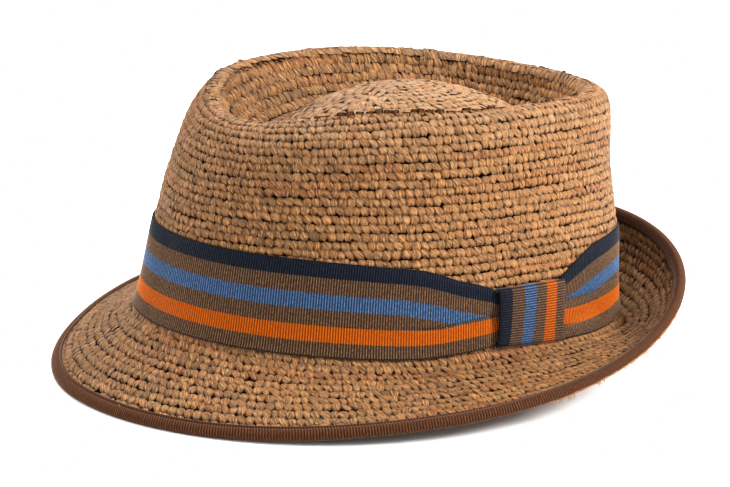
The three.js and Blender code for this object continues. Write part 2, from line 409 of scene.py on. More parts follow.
def raffia_material(size):
    """Satin fibre bundles: each stitch has its own tone and its own fibres."""
    material, tree, shader = new_material("raffia_fibres")
    u, v = uv_parts(tree, "stitch")
    tone, warmth, shift, bleach = (point_value(tree, name) for name in STITCH_VALUES)
    fibre = fibre_noise(tree, u, v, shift)

    # Each stitch between dark and pale by its tone and by the painted light and shade mixed into
    # it, and some of them warm
    dark, pale = tuple(size.dark_colour), tuple(size.pale_colour)
    mean = tuple((a + b) / 2 for a, b in zip(dark, pale))
    colour = mix_colour(tree, tone, shaded(mean, 0.4), shaded(mean, 1.1))
    colour = mix_colour(tree, times(tree, warmth, 0.7), colour, tuple(size.warm_colour))

    # Its palest and darkest fibres, partly their own colour and partly painted glints on the
    # fibres and painted shade between them, and fibres that light has bleached
    bright_and_glint = map_range(tree, fibre, 0.5, 0.62)
    dim_and_shade = map_range(tree, fibre, 0.5, 0.36)
    colour = mix_colour(tree, times(tree, bright_and_glint, 0.9), colour, pale)
    colour = mix_colour(tree, times(tree, dim_and_shade, 0.9), colour, dark)
    # Paler where fibres are bleached, and paler still by a painted sheen on the dome and the crest
    # over the knot
    fade_and_sheen = times(tree, bleach, map_range(tree, fibre, 0.35, 0.65, 0.5, 1.0))
    colour = mix_colour(tree, fade_and_sheen, colour, tuple(size.bleached_sheen_colour))

    # Painted shade in the creases round its rim, and in the pore beside its foot
    side = from_middle(tree, u)
    foot = math_node(tree, "SUBTRACT", 1.0, v)
    crease_shades = [times(tree, math_node(tree, "POWER", edge, 6.0), share)
               for edge, share in ((side, 0.4), (foot, 0.6), (v, 0.3))]
    crease_shade = math_node(tree, "MAXIMUM", crease_shades[0], math_node(
        tree, "MAXIMUM", crease_shades[1], crease_shades[2]))
    colour = mix_colour(tree, crease_shade, colour, shaded(dark, 0.5))
    pore_shade = times(tree, math_node(tree, "POWER", side, 2.5), math_node(tree, "POWER", foot, 1.6))
    colour = mix_colour(tree, map_range(tree, pore_shade, 0.08, 0.42), colour, tuple(size.gap_shade_colour))
    feed_all(tree, shader, {
        "Base Color": colour, "Roughness": map_range(tree, fibre, 0.3, 0.7, 0.62, 0.38),
        "Specular IOR Level": 0.4, "Specular Tint": (1.0, 0.84, 0.66),
        "Normal": bump(tree, fibre, 1.0, 0.8 * MM)})
    return material


def core_material(size):
    """Painted shade on the raffia deep between the stitches."""
    material, tree, shader = new_material("raffia_core")
    where = add_node(tree, "ShaderNodeTexCoord").outputs["Object"]
    grain = noise(tree, where, 900.0, 3.0, 0.6)
    gap = tuple(size.gap_shade_colour)
    feed_all(tree, shader, {
        "Base Color": mix_colour(tree, grain, shaded(gap, 0.45), gap),
        "Roughness": map_range(tree, grain, 0.3, 0.7, 0.95, 0.8),
        "Specular IOR Level": 0.1, "Specular Tint": (1.0, 0.7, 0.4),
        "Normal": bump(tree, grain, 0.5, 0.2 * MM)})
    return material


def stitch_kind(name, grid, low, high, notch, rng, material):
    """One stitch: a cap over two legs, one unit wide and high, its rim sunk into the wall."""
    a, b = np.meshgrid(*(np.linspace(-1, 1, count) for count in grid), indexing="ij")
    up, down = np.clip(b, 0, 1), np.clip(-b, 0, 1)
    low_part = np.clip(down - 0.1, 0, 1)

    # Outline: narrower at the head and more so at the foot, which parts into two legs, and leaning
    parting = np.exp(-((a - rng.uniform(-0.3, 0.3)) / 0.3) ** 2) * low_part * notch
    half_width = 0.62 * (1 - 0.26 * up ** 2 - 0.24 * low_part ** 2)
    x = half_width * a + rng.uniform(-0.36, 0.02) * b
    y = 0.5 * b + 0.09 * up * (1 - np.abs(a) ** 3) - 0.08 * low_part * (1 - a ** 2)
    y = y + 0.3 * notch * np.abs(a) ** 3 * low_part + 0.2 * parting

    # Relief: swollen in the middle, with a crease between its strands, and its rim sunk
    roundness = 0.55
    swell = ((1 - np.abs(a) ** 3.2) * (1 - np.abs(b) ** 2.6)).clip(0) ** roundness
    swell = swell * (1 - 0.5 * parting) * (1 + 0.22 * rng.uniform(-1, 1) * a)
    swell = swell * (1 - 0.24 * rng.uniform(0.4, 1) * (1 - np.cos(4 * np.pi * a)) / 2)
    swell = swell + rng.normal(0, 0.06, a.shape) * (swell > 0)
    rim = (0.52 - 0.52 * np.abs(a) ** 3 * low_part - 0.25 * np.abs(a) ** 3 * up
           - 0.45 * parting - 0.08 * down)
    z = low + (high - low) * (rim + (1 - rim) * swell)

    faces = grid_faces(*grid, False, False)
    if high > low:
        faces = faces[:, ::-1]
    piece = add_mesh(name, np.stack([x, y, z], -1).reshape(-1, 3), faces, material)
    uv = np.stack([(a + 1) / 2, (b + 1) / 2], -1).reshape(-1, 2)
    set_uv(piece.data, "stitch", uv[faces.ravel()])
    return piece


def stitch_kinds(prefix, count, grid, low, high, notch, rng, material):
    """A set of stitches to pick from, in a collection of their own."""
    kinds = bpy.data.collections.new(prefix)
    bpy.context.scene.collection.children.link(kinds)
    for i in range(count):
        kind = stitch_kind(f"{prefix}_{i}", grid, low, high, notch * rng.uniform(0.6, 1.0), rng,
                           material)
        bpy.context.scene.collection.objects.unlink(kind)
        kinds.objects.link(kind)
    return kinds


def remove_kinds(kinds):
    for kind in list(kinds.objects):
        mesh = kind.data
        bpy.data.objects.remove(kind)
        bpy.data.meshes.remove(mesh)
    bpy.data.collections.remove(kinds)


def crochet_tree():
    """Sets a stitch on each point, turned and sized by the point's values."""
    tree, entry = new_tree("crochet_stitches", {
        "Stitches": "NodeSocketCollection", "Material": "NodeSocketMaterial",
        "Lean": "NodeSocketFloat", "Seed": "NodeSocketInt"})
    info = add_node(tree, "GeometryNodeCollectionInfo", {
        "Collection": entry.outputs["Stitches"], "Separate Children": True,
        "Reset Children": True})
    axes = add_node(tree, "FunctionNodeAxesToRotation", {
        0: named_value(tree, "outward", "FLOAT_VECTOR"),
        1: named_value(tree, "along", "FLOAT_VECTOR")}, primary_axis="Z", secondary_axis="X")
    place = add_node(tree, "GeometryNodeInstanceOnPoints", {
        "Points": entry.outputs["Geometry"], "Instance": info.outputs[0], "Pick Instance": True,
        "Instance Index": named_value(tree, "kind", "INT"), "Rotation": axes.outputs[0],
        "Scale": named_value(tree, "size", "FLOAT_VECTOR")})
    lean = entry.outputs["Lean"]
    spin = add_node(tree, "FunctionNodeRandomValue", {
        2: times(tree, lean, -1.0), 3: lean, "Seed": entry.outputs["Seed"]}, data_type="FLOAT")
    turned = add_node(tree, "GeometryNodeRotateInstances", {
        "Instances": place.outputs[0], "Rotation": combine(tree, 0.0, 0.0, spin.outputs[1])})
    end_tree(tree, entry, turned.outputs[0])
    return tree


def crochet_rounds(size):
    """The number of the crochet's round at each grid angle and place, and at the anchors."""
    counts = np.cumsum([0, size.dome_rounds, size.dish_rounds, size.wall_rounds, size.brim_rounds])
    anchors = list(zip((0, FOOT, CREST, BASE, EDGE), counts.tolist()))
    length = lengths_along_rows(face(GRID_ANGLES[:, None], GRID_PLACES[None, :]))
    rounds = np.zeros_like(length)
    for (place, number), (next_place, next_number) in zip(anchors, anchors[1:]):
        a, b = place * RING_STEPS, next_place * RING_STEPS
        share = (length[:, a:b + 1] - length[:, [a]]) / (length[:, [b]] - length[:, [a]])
        rounds[:, a:b + 1] = number + (next_number - number) * share
    return rounds, [number for _, number in anchors]


def places_at(rounds, angles, numbers):
    """The places of round numbers at angles."""
    columns = np.rint(np.mod(angles, TURN) / TURN * (len(GRID_ANGLES) - 1)).astype(int)
    return np.array([np.interp(n, rounds[c], GRID_PLACES) for c, n in zip(columns, numbers)])


def runs(rng, count, lengths, draw):
    """Values that stay the same over runs of stitches, as along one strand of raffia."""
    values = np.empty(count)
    start = 0
    while start < count:
        stop = start + rng.integers(*lengths)
        values[start:stop] = draw()
        start = stop
    return values


SPIRAL_START = 0.25  # the round at which the first stitch is worked
WIDTH_SHARES = (0.8, 1.2)  # a stitch's width against the mean
HEIGHT_SHARES = (0.94, 1.1)  # its height against its round's
SWELL_SHARES = (0.75, 1.15)  # how proud it stands, against its set height
ASTRAY = 0.045  # how far it strays from its row, in rounds
TILT = 0.09  # how far it leans out of its direction, as a slope
TONE_RUN = (3, 22)  # stitches that share a strand's tone
WARMTH_RUN = (3, 16)  # and those that share its warmth
TALLER = 0.35  # how much taller a stitch is on a bend, so that no gap opens


def wind_spiral(size, rounds, anchors, rng):
    """Angles, round numbers and widths of all the stitches, in the order they are worked."""
    _, _, crest, base, edge = anchors
    around = np.concatenate([turn * TURN + GRID_ANGLES[:-1] for turn in range(edge)])
    columns = np.tile(np.arange(len(GRID_ANGLES) - 1), edge)
    wound = SPIRAL_START + around / TURN
    line_places = np.array([np.interp(n, rounds[c], GRID_PLACES) for n, c in zip(wound, columns)])
    length = lengths_along(face(around, line_places))
    turn_of = (around / TURN).astype(int)
    ends = np.interp(np.arange(edge + 1) * TURN, around, length)
    wall = (turn_of >= crest) & (turn_of < base)
    width = np.where(wall, np.diff(ends)[turn_of] / size.wall_stitches, size.stitch_width)
    counted = np.concatenate([[0.0], np.cumsum(np.diff(length) / width[1:])])
    total = int(counted[-1])
    share = rng.uniform(*WIDTH_SHARES, total)
    worked = np.cumsum(share) - share / 2
    turned = np.interp(worked * counted[-1] / share.sum(), counted, around)
    width = share * np.interp(turned, around, width)

    # The rows wander in two waves that don't repeat from round to round
    sway = 0.05 * np.sin(turned * 6.37) + 0.04 * np.sin(turned * 10.71 + 2)
    number = SPIRAL_START + turned / TURN + sway + rng.normal(0, ASTRAY, total)
    return np.mod(turned, TURN), number, width


def over_bends(number, bends, reach):
    """How much taller the stitches are round the rounds where the face bends away from them."""
    taller = np.ones(len(number))
    for bend in bends:
        taller = taller * (1 + TALLER * np.exp(-((number - bend) / reach) ** 2))
    return taller


def plan_stitches(size):
    """All the stitches: their places, directions, sizes and looks."""
    rng = np.random.default_rng(size.seed)
    rounds, anchors = crochet_rounds(size)
    _, foot, crest, base, _ = anchors
    angles, number, width = wind_spiral(size, rounds, anchors, rng)
    total = len(angles)
    dome, brim = number < foot, number > base
    place = places_at(rounds, angles, number)
    upper = face(angles, places_at(rounds, angles, number - 0.5))
    lower = face(angles, places_at(rounds, angles, number + 0.5))
    height = np.linalg.norm(upper - lower, axis=-1) * rng.uniform(*HEIGHT_SHARES, total)
    height = height * over_bends(number, (crest, base), 1.3)
    apart = 0.12 * near(angles, 290, 35) * (number > base + 1)
    height = height * np.where(dome, 1.1, 1 - apart)

    # Looks: the dome and the crest over the knot are paler, partly bleached and partly a painted
    # sheen; a painted light makes the side towards the knot lighter, and the side away from it and
    # the brim darker
    fade_and_sheen = np.exp(-((number - crest - 3) / 3) ** 2) * np.cos(angles - math.radians(75)).clip(0)
    bleach = np.select([dome, brim], [0.4, 0.1], 0.07 + 0.25 * fade_and_sheen)
    bleach = bleach * rng.uniform(0.3, 1.5, total)
    # painted light and shade: lighter round 120 degrees, darker opposite it, and darker on the
    # brim
    painted_light_drift = 0.24 * np.cos(angles - math.radians(120)) - 0.1 * brim
    tone = (runs(rng, total, TONE_RUN, lambda: rng.normal(0.5, 0.13)) + painted_light_drift
            + rng.normal(0, 0.14, total)).clip(0, 1)
    warmth = runs(rng, total, WARMTH_RUN, lambda: (
        rng.uniform(0.4, 1) if rng.random() < 0.2 else rng.uniform(0, 0.25)))
    warmth = (warmth + rng.normal(0, 0.08, total)).clip(0, 1)

    # Directions, evened out over the bends and a little different from stitch to stitch
    out, along = directions(angles, place)
    for shift in (-0.12, 0.12):
        out = out + directions(angles, (place + shift).clip(0.02, EDGE - 0.02))[0]
    out = unit(out)
    side = np.cross(out, along)
    out = unit(out + along * rng.normal(0, TILT, (total, 1))
               + side * rng.normal(0, TILT, (total, 1)))
    swell = rng.uniform(*SWELL_SHARES, total) * np.select([dome, brim], [0.5, 0.74], 1.0)
    return {
        "angle": angles, "number": number, "place": place, "width": width, "height": height,
        "tone": tone, "warmth": warmth, "shift": rng.random(total), "bleach": bleach,
        "outward": out, "along": along, "kind": rng.integers(0, size.kinds, total),
        "point": face(angles, place), "swell": swell, "anchors": anchors,
    }


def make_stitches(name, plan, chosen, kinds, front, material, tree, size):
    """A piece of crochet: the chosen stitches of the plan."""
    piece = add_mesh(name, plan["point"][chosen], [])
    mesh = piece.data
    height, swell = plan["height"], plan["swell"]
    if not front:
        _, foot, crest, _, _ = plan["anchors"]
        height = height * over_bends(plan["number"], (foot, crest), 1.5)
        swell = np.ones(len(swell))
    scale = np.stack([plan["width"], height, swell], -1)[chosen]
    set_point_value(mesh, "size", scale, "FLOAT_VECTOR")
    set_point_value(mesh, "outward", plan["outward"][chosen], "FLOAT_VECTOR")
    set_point_value(mesh, "along", plan["along"][chosen], "FLOAT_VECTOR")
    set_point_value(mesh, "kind", plan["kind"][chosen] % len(kinds.objects), "INT")
    for key in STITCH_VALUES:
        set_point_value(mesh, key, plan[key][chosen])
    grow(piece, tree, {"Stitches": kinds, "Material": material, "Lean": size.lean,
                       "Seed": size.seed})
    points = np.empty(3 * len(piece.data.vertices))
    piece.data.vertices.foreach_get("co", points)
    piece.data.vertices.foreach_set("co", off_floor(points.reshape(-1, 3)).ravel())
    piece.data.update()
    return piece


def make_shell(name, places, top, bottom, columns, material):
    """A thin closed skin round the hat along the face, between two offsets."""
    rows = list(places) + list(places)[::-1]
    offsets = [top] * len(places) + [bottom] * len(places)
    angles = np.linspace(0, TURN, columns, endpoint=False)[:, None]
    points = stand_off(angles, np.array(rows)[None, :], np.array(offsets)[None, :])
    faces = grid_faces(columns, len(rows), True, True)
    return add_mesh(name, off_floor(points).reshape(-1, 3), faces, material)


# Ribbon band and knot

KNOT_ANGLE = math.radians(95)


def wall_height(angles):
    """The distance up the wall from its foot to the place BAND_TOP."""
    return np.linalg.norm(face(angles, BASE) - face(angles, BAND_TOP), axis=-1)


def place_up(angles, height):
    return BASE - height / wall_height(angles)


def places_at_height(angles, heights):
    """The places at true heights up the wall from its foot."""
    places = np.linspace(BASE + 0.4, BAND_TOP - 0.4, 91)
    length = lengths_along_rows(face(angles[:, None], places[None, :]))
    foot = np.array([np.interp(-BASE, -places, row) for row in length])
    return np.array([np.interp(at + start, row, places)
                     for at, start, row in zip(heights, foot, length)])


def turned_from_knot(angles):
    """Degrees from the knot's middle, positive towards the back."""
    return np.degrees(np.mod(np.asarray(angles) - KNOT_ANGLE + math.pi, TURN) - math.pi)


# The gathered band beside the knot: degrees from the knot's edge, heights up the wall in
# millimetres, the sixths of the ribbon's width where its upper part ends and its lower starts, and
# how proud the lower part stands of the upper, in millimetres
BAND_COLUMNS = ("away", "top", "fold", "bottom", "upper_end", "lower_start", "proud")
BAND_FRONT_ROWS = (
    (0, 24.7, 14.0, 1.8, 1.95, 3.82, -1.0),
    (1.7, 25.7, 13.8, 1.6, 2.12, 3.83, 0.8),
    (4, 27.2, 13.4, 1.2, 2.35, 3.85, 0.85),
    (8, 29.1, 12.6, 0.6, 2.87, 3.88, 0.75),
    (12, 31.8, 11.4, 0.0, 3.42, 3.9, 0.6),
    (16, 33.9, 11.2, -0.6, 3.7, 3.93, 0.35),
    (21, 35.0, 11.6, -0.6, 3.93, 3.93, 0.0),
    (31, 36.3, 12.4, -0.2, 3.93, 3.93, 0.0),
    (42, 37.0, 12.77, 0.0, 3.93, 3.93, 0.0),
)
BAND_BACK_ROWS = (
    (0, 24.5, 15.0, -0.9, 2.0, 3.35, -0.3),
    (5, 29.4, 14.8, -1.1, 2.4, 3.4, -0.6),
    (10, 33.4, 14.8, -1.2, 2.8, 3.45, -0.8),
    (14, 35.7, 15.2, -0.9, 3.0, 3.45, -0.8),
    (20, 37.0, 17.3, -0.2, 3.05, 3.3, -0.6),
    (28, 38.5, 18.15, 1.5, 3.3, 3.3, -0.15),
    (34, 38.9, 16.7, 1.9, 3.6, 3.6, 0.0),
    (42, 38.9, 14.66, 1.9, 3.93, 3.93, 0.0),
    (75, 38.9, 14.66, 1.9, 3.93, 3.93, 0.0),
    (120, 37.0, 12.77, 0.0, 3.93, 3.93, 0.0),
)


def band_shape(angles, size):
    """The band's edges and fold at angles, as named arrays."""
    turned = turned_from_knot(angles)
    away = np.abs(turned) - size.knot_span / 2
    shape = {}
    for k, name in enumerate(BAND_COLUMNS[1:], 1):
        front, back = (np.interp(away, [r[0] for r in rows], [r[k] for r in rows])
                       for rows in (BAND_FRONT_ROWS, BAND_BACK_ROWS))
        value = np.where(turned < 0, front, back)
        span = np.clip(turned / size.knot_span + 0.5, 0, 1)
        first, last = BAND_FRONT_ROWS[0][k], BAND_BACK_ROWS[0][k]
        shape[name] = np.where(away < 0, first + (last - first) * span, value)
    under_knot = np.clip(-away, 0, 1)
    shape["top"] = shape["top"] - 2.2 * under_knot
    shape["bottom"] = shape["bottom"] + under_knot
    return shape


def band_edges(angles, size):
    """Heights of the band's lower and upper edge up the wall."""
    shape = band_shape(angles, size)
    return shape["bottom"] * MM, shape["top"] * MM


def rib_tree():
    """Raises cross ribs on a ribbon, counted along it by rib, where ribbed is above 0."""
    tree, entry = new_tree("ribbon_ribs", {"Rib Depth": "NodeSocketFloat",
                                           "Material": "NodeSocketMaterial"})
    wave = math_node(tree, "COSINE", times(tree, named_value(tree, "rib"), TURN))
    raised = times(tree, wave, times(tree, named_value(tree, "ribbed"), 0.5))
    offset = add_node(tree, "ShaderNodeVectorMath", {
        0: add_node(tree, "GeometryNodeInputNormal").outputs[0],
        "Scale": times(tree, raised, entry.outputs["Rib Depth"])}, operation="SCALE")
    move = add_node(tree, "GeometryNodeSetPosition", {
        "Geometry": entry.outputs["Geometry"], "Offset": offset.outputs[0]})
    end_tree(tree, entry, move.outputs[0])
    return tree


def stripe_colour(tree, across, colours):
    """Even stripes across a ribbon, with sharp edges."""
    ramp = add_node(tree, "ShaderNodeValToRGB")
    ramp.color_ramp.interpolation = "CONSTANT"
    elements = ramp.color_ramp.elements
    while len(elements) < len(colours):
        elements.new(0.5)
    for i, colour in enumerate(colours):
        elements[i].position = i / len(colours)
        elements[i].color = (*colour, 1.0)
    tree.links.new(across, ramp.inputs[0])
    return ramp.outputs[0]


def ribbon_material(name, colours, crests, tint, shine, fuzz):
    """Ribbed ribbon: stripes across it, paler on the crests of its ribs, partly by pale threads
    and partly by painted highlight, with painted shade in the rib valleys and a painted shadow
    line along its edges.
    """
    material, tree, shader = new_material(name)
    along, across = uv_parts(tree, "ribbon")
    wave = math_node(tree, "COSINE", times(tree, along, TURN))
    thread = noise(tree, combine(tree, times(tree, along, 1.1), times(tree, across, 34.0)),
                   1.0, 2.0, 0.6)
    # paler on the rib crests: pale threads and painted highlight
    threads_and_highlight = times(tree, map_range(tree, wave, 0.1, 0.95), map_range(tree, thread, 0.3, 0.75))
    lit = mix_colour(tree, threads_and_highlight, stripe_colour(tree, across, colours),
                     stripe_colour(tree, across, crests))
    # painted shade in the valleys between the ribs
    valley = map_range(tree, wave, -0.1, -0.95, 0.0, 0.6)
    # painted shadow: a dark line along both edges of the ribbon, where it meets the wall
    edge_shadow = map_range(tree, from_middle(tree, across), 0.965, 0.985, 0.0, 0.85)
    shade = math_node(tree, "MAXIMUM", valley, edge_shadow)
    feed_all(tree, shader, {
        "Base Color": mix_colour(tree, shade, lit, (0.003, 0.002, 0.002)),
        "Roughness": map_range(tree, thread, 0.3, 0.7, 0.78, 0.55),
        "Specular IOR Level": shine, "Specular Tint": tint, "Sheen Tint": tint,
        "Sheen Weight": fuzz, "Sheen Roughness": 0.35,
        "Normal": bump(tree, thread, 0.35, 0.1 * MM)})
    return material


def add_ribbon(name, points, ribs, across, ribbed, close_columns, tree, depth, material):
    """A ribbed ribbon from a grid of points (column, row), closed along its rows."""
    columns, rows = points.shape[:2]
    faces = grid_faces(columns, rows, close_columns, True).tolist()
    if not close_columns:
        faces.append(list(range(rows))[::-1])
        faces.append([(columns - 1) * rows + j for j in range(rows)])
    piece = add_mesh(name, points.reshape(-1, 3), faces)
    ribs, across = ribs.ravel(), across.ravel()
    set_point_value(piece.data, "rib", ribs)
    set_point_value(piece.data, "ribbed", ribbed.ravel())
    last = ribs.max() + (ribs[rows] - ribs[0])
    uv = []
    for polygon in faces:
        numbers = [ribs[k] for k in polygon]
        if close_columns and max(numbers) - min(numbers) > 2:
            numbers = [last if n < 1 else n for n in numbers]
        uv.extend((n, across[k]) for n, k in zip(numbers, polygon))
    set_uv(piece.data, "ribbon", uv)
    return grow(piece, tree, {"Rib Depth": depth, "Material": material})


def rib_angles(line, pitch, steps):
    """Angles at even lengths along a closed line, steps of them for each rib, and their ribs."""
    length = lengths_along(line(GRID_ANGLES))
    total = int(round(length[-1] / pitch)) * steps
    numbers = np.arange(total)
    return np.interp(numbers / total * length[-1], length, GRID_ANGLES), numbers / steps


BAND_STEPS = 4  # columns of points for each rib
BAND_OFF = 0.45 * MM  # its inner face off the smooth face of the wall
SELVEDGE = 0.25 * MM  # how far the ribbon's edges are drawn in
UPPER_SHARES = (0, 0.012, 0.2, 0.4, 0.6, 0.8, 0.93, 1)  # rows of points down its upper part
LOWER_SHARES = (0.1, 0.3, 0.5, 0.7, 0.88, 0.975, 1)  # and down its lower part


def make_band(size, tree, material):
    """The band: near the knot its lower part is folded over its upper part."""
    def middle_line(angles):
        bottom, top = band_edges(angles, size)
        return face(angles, place_up(angles, (bottom + top) / 2))

    angles, ribs = rib_angles(middle_line, size.rib_pitch, BAND_STEPS)
    shape = {name: value[:, None] for name, value in band_shape(angles, size).items()}
    bottom, top, fold, proud = (shape[name] * MM for name in ("bottom", "top", "fold", "proud"))
    upper_end, lower_start = shape["upper_end"] / 6, shape["lower_start"] / 6
    outer = BAND_OFF + size.thickness
    lifted = np.clip(proud, 0, None)
    sunk = np.clip(-proud, 0, None)
    rows = []
    for share in UPPER_SHARES:
        rows.append((top + (fold - top) * share, upper_end * share,
                     outer - sunk * share ** 4 - (SELVEDGE if share == 0 else 0), 1.0))
    rows.append((fold - 0.02 * MM, lower_start, outer - 1.3 * sunk, 1.0))
    rows.append((fold - 0.04 * MM, lower_start + 0.001, outer + lifted * 0.85 - 1.3 * sunk, 1.0))
    for share in LOWER_SHARES:
        ease = (1 - 0.5 * share ** 2) * (1 + 0.25 * math.sin(math.pi * share))
        rows.append((fold + (bottom - fold) * share, lower_start + (1 - lower_start) * share,
                     outer + lifted * ease - sunk * (1 - share) ** 3
                     - (SELVEDGE if share == 1 else 0), 1.0))
    for height, across, off in ((bottom, 1.0, BAND_OFF), ((bottom + top) / 2, 0.5, -0.2 * MM),
                                (top, 0.0, BAND_OFF)):
        rows.append((height, across, off, 0.0))
    heights, across, offsets, ribbed = (np.concatenate([row[k] + 0 * top for row in rows], 1)
                                        for k in range(4))

    # Its outer face waves a little
    wave = 0.12 * MM * np.sin(angles * 9 + 1.3)[:, None] * np.sin(angles * 4)[:, None]
    offsets = offsets + np.where(ribbed > 0, wave, 0)
    spread = np.broadcast_to(angles[:, None], heights.shape)
    points = stand_off(spread, places_at_height(angles, heights), offsets)
    return add_ribbon("ribbon_band_cloth", points, np.broadcast_to(ribs[:, None], heights.shape),
                      across.clip(0.002, 0.998), ribbed, True, tree, size.rib_depth, material)


# Shares of the knot's width where its stripes meet, and the shares of the flat ribbon's width
KNOT_STRIPES = (0, 0.16, 0.318, 0.492, 0.637, 0.822, 1)
EVEN_STRIPES = (0.01, 0.1667, 0.3333, 0.5, 0.6667, 0.8333, 0.99)

# Columns of points across the knot, from side folded under to side folded under: the share of its
# width, and the share of its stand-off there
KNOT_COLUMNS = (
    (0.14, 0.12), (0.07, 0.4), (0.015, 0.68), (0.0, 0.88), (0.02, 1.0), (0.08, 1.0), (0.18, 1.0),
    (0.3, 1.0), (0.42, 1.0), (0.55, 1.0), (0.68, 1.0), (0.8, 1.0), (0.9, 1.0), (0.965, 1.0),
    (0.99, 0.93), (1.0, 0.75), (0.985, 0.5),
)
KNOT_STEPS = 5  # rows of points for each rib
KNOT_CENTRE = 0.475  # the share of its width that lies at KNOT_ANGLE
KNOT_ROUNDED = 0.14  # the share of each half of its height over which its ends round off


# Colours of the threads and the painted highlight on the crests of the ribs, stripe by stripe
PALE_BROWN = (0.25, 0.15, 0.086)
STRIPE_CRESTS = ((0.02, 0.03, 0.05), PALE_BROWN, (0.13, 0.22, 0.37), PALE_BROWN,
                 (0.58, 0.155, 0.003), PALE_BROWN)
# Painted shade: the knot's ribbon is a darker copy of the band's, for the light that falls on it
KNOT_SHADE = 0.82  # the knot's brightness, as a share of the band's


def make_knot(size, tree, material):
    """The knot: the ribbon wrapped upright round the gathered band, its sides folded under."""
    count = int(round(size.knot_height / size.rib_pitch))
    level = np.linspace(-1, 1, count * KNOT_STEPS + 1)[:, None]
    place, skin = (np.array([column[k] for column in KNOT_COLUMNS])[None, :] for k in range(2))

    # It bows towards the back at half its height, leans back and widens upwards
    bulge = 0.035 * (1 - level ** 2) * np.sin(np.pi * np.clip(place * 0.5 + 0.3, 0, 1))
    share = place + bulge + (size.knot_shear + 0.026 * place) * level
    angles = KNOT_ANGLE + np.radians(size.knot_span) * (share - KNOT_CENTRE)

    # It stands out less towards the back, and its upper and lower ends round off
    stand = size.knot_stand * (1 - 0.45 * place) + size.knot_bulge * (1 - (2 * place - 1) ** 2)
    past = np.clip((np.abs(level) - 1 + KNOT_ROUNDED) / KNOT_ROUNDED, 0, 1)
    round_off = np.sqrt(1 - past ** 2)
    offsets = 0.1 * MM + (stand * skin) * (0.15 + 0.85 * round_off)
    half = size.knot_height / 2 * (0.96 + 0.08 * place)
    heights = size.knot_rise - size.knot_drop * (2 * place - 1) + half * level
    flat = places_at_height(angles.ravel(), heights.reshape(-1, 1))
    points = stand_off(angles, flat.reshape(heights.shape), offsets)
    ribs = np.broadcast_to(level * count / 2, heights.shape)
    across = np.interp(place - 0.02 * level * np.sin(np.pi * place), KNOT_STRIPES, EVEN_STRIPES)
    ribbed = np.broadcast_to((round_off > 0.02) * 1.0, heights.shape)
    return add_ribbon("knot_cloth", points[:, ::-1], ribs[:, ::-1], across[:, ::-1],
                      ribbed[:, ::-1], False, tree, size.rib_depth, material)


# Binding

# Rows of points from the binding's inner edge out to the brim's edge: the distance in from that
# edge and the height over the raffia, in millimetres, with the groove of the seam
BINDING_PROFILE = (
    (3.2, 0.15), (3.15, 0.7), (2.85, 0.85), (2.5, 0.8), (2.15, 0.3), (1.8, 0.8), (1.2, 0.98),
    (0.6, 1.0), (0.2, 1.0),
)
BINDING_FOLDS = (35, 65, 90, 115, 145)  # its rows' angles round the edge, in degrees
BINDING_UNDER = ((0.2, 1.0), (1.4, 1.0), (2.6, 0.9), (3.2, 0.2))  # rows on the under face
BINDING_STEPS = 3  # columns of points for each rib

# The groove of the seam shows round this angle, this far to both sides, and fades out over the
# last of them, in degrees
SEAM_MIDDLE, SEAM_REACH, SEAM_FADE = 20, 70, 12


def binding_stretch(angles):
    """How much wider the binding is at angles than its set width."""
    return 1.1 + 0.08 * np.cos(2 * angles + math.radians(40)) + 0.45 * near(angles, 290, 28)


def place_inward(angles, distance):
    """The place at a distance in from the edge, measured along the face."""
    places = np.linspace(EDGE, EDGE - 1.2, 61)
    length = lengths_along_rows(face(angles[:, None], places[None, :]))
    return np.array([np.interp(d, row, places) for d, row in zip(distance, length)])


def make_binding(size, tree, material):
    """The ribbon folded round the edge, sewn down in a groove near its inner edge."""
    angles, ribs = rib_angles(lambda a: face(a, EDGE), size.rib_pitch, BINDING_STEPS)
    turned = np.degrees(np.mod(angles + math.pi, TURN) - math.pi)
    sewn = np.clip((SEAM_REACH - np.abs(turned - SEAM_MIDDLE)) / SEAM_FADE, 0, 1)
    wide = binding_stretch(angles) * MM
    ones = np.ones(len(angles))
    rows = []
    for inset, off in BINDING_PROFILE:
        flat = np.interp(inset, (2.4, 3.2), (0.95, 0.1))
        offset = off * MM + np.where(inset > 1.5, (1 - sewn) * (flat - off) * MM, 0)
        rows.append((stand_off(angles, place_inward(angles, inset * wide), offset), inset,
                     np.clip((2.0 - inset) / 0.4, 0, 1) + np.where(inset > 1.9, 1 - sewn, 0)))
    centre = stand_off(angles, EDGE, -RAFFIA / 2 * ones)
    normal = unit(stand_off(angles, EDGE, 0 * ones) - centre)
    outward = unit(face(angles, EDGE) - face(angles, EDGE - STEP))
    for fold in BINDING_FOLDS:
        turn = math.radians(fold)
        reach = normal * math.cos(turn) + outward * math.sin(turn)
        rows.append((centre + (RAFFIA / 2 + 1.0 * MM) * reach, 0.5 - 1.5 * fold / 90, ones))
    for inset, off in BINDING_UNDER:
        rows.append((stand_off(angles, place_inward(angles, inset * wide),
                               (-RAFFIA - off * MM) * ones), -3 - inset, ones * (inset < 3)))
    points = np.stack([row[0] for row in rows], 1)
    points[..., 2] = points[..., 2].clip(size.rib_depth / 2 + 0.02 * MM, None)
    across_mm = np.array([row[1] for row in rows])[None, :]
    ribbed = np.stack([row[2] for row in rows], 1)
    ribs = ribs[:, None] + size.rib_slant * across_mm
    across = np.broadcast_to((across_mm + 12) / 22, ribs.shape)
    return add_ribbon("binding_cloth", points, ribs, across, ribbed, True, tree,
                      size.rib_depth, material)


# Loose fibres

# Where raffia frays out under the binding, in degrees, and where it stands out in tufts
FRINGE_ANGLES = (89, 127)
TUFT_ANGLES = (91.5, 94, 100, 106, 108.5, 112, 118)
FIBRE_STEPS, FIBRE_SIDES = 6, 3
CURL = 0.35  # how far a fibre's end bends aside, as a share of its length
FLAT_CURL = 0.03  # the same for those that run along the edge


